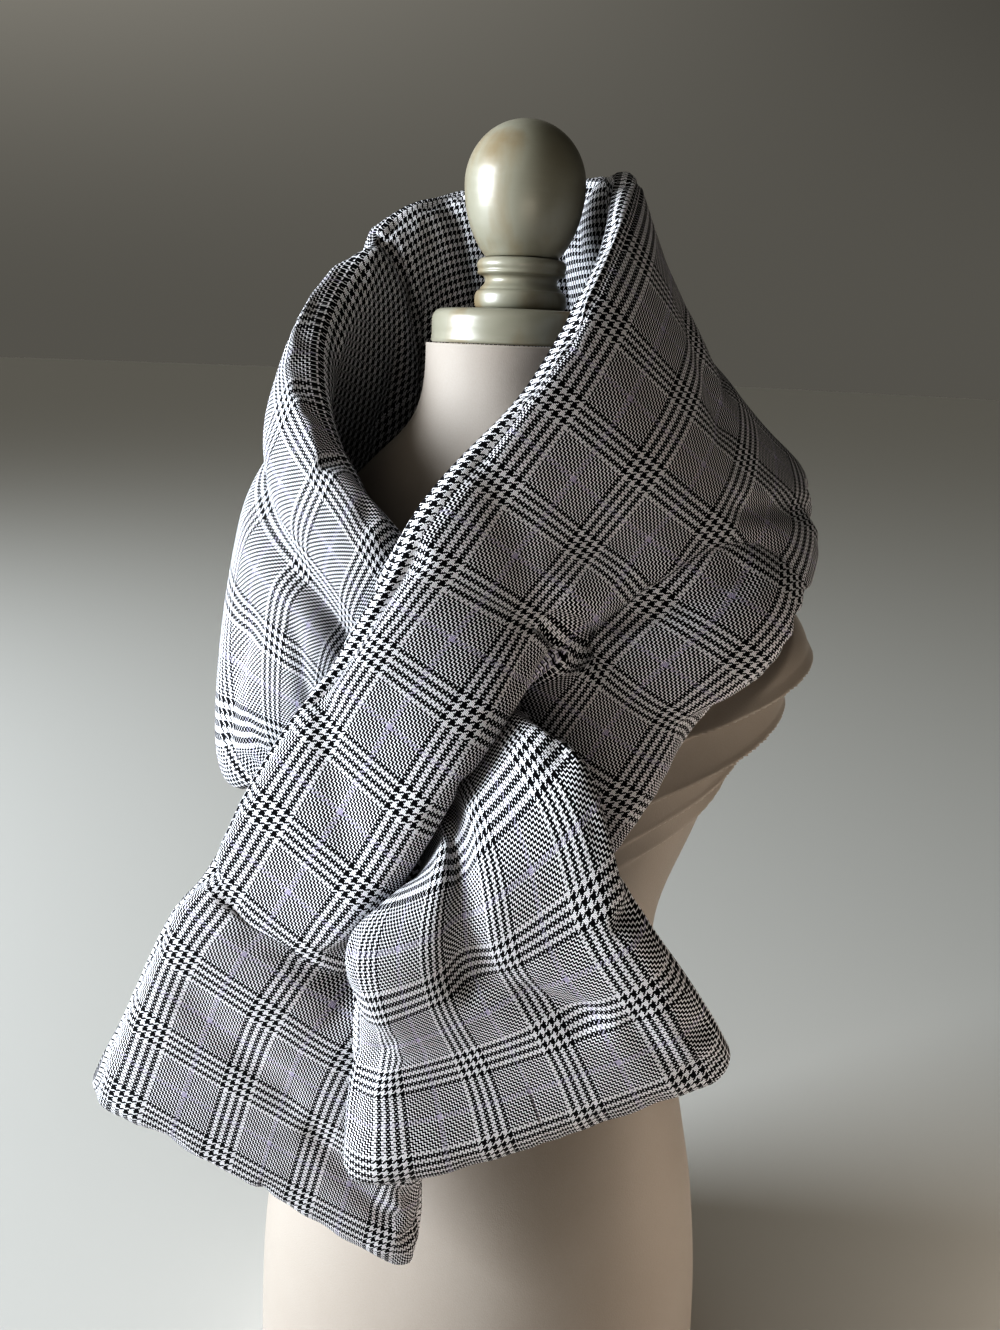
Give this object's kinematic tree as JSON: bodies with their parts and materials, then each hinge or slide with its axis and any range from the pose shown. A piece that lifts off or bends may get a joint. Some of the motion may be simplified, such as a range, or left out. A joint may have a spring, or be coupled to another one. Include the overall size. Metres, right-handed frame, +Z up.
{
  "type": "puffer scarf on a dress form",
  "caption": "Padded plaid scarf wound round the neck of a limbless dress form, one end pulled through a slit in the other.",
  "frame": {"origin": "middle of the dress form's flat underside, on the form's axis", "axes": "+Z up the form's axis, -Y to the form's front, +X to the form's left hand side"},
  "size_m": [0.4103, 0.3972, 0.9208],
  "materials": {
    "plaid_cloth": "woven black and white plaid with a lavender overcheck, padded, matte",
    "form_cover": "smooth cream stretch cover with a soft sheen",
    "painted_wood": "cream satin paint, rubbed and a little yellowed"
  },
  "bodies": {
    "root": {"scarf_front_end": "plaid_cloth", "scarf_shoulder": "plaid_cloth", "scarf_collar": "plaid_cloth", "scarf_left_band": "plaid_cloth", "scarf_pulled_end": "plaid_cloth", "dress_form_body": "form_cover", "neck_cap": "painted_wood", "finial_rings": "painted_wood", "finial_ball": "painted_wood"}
  },
  "joints": []
}
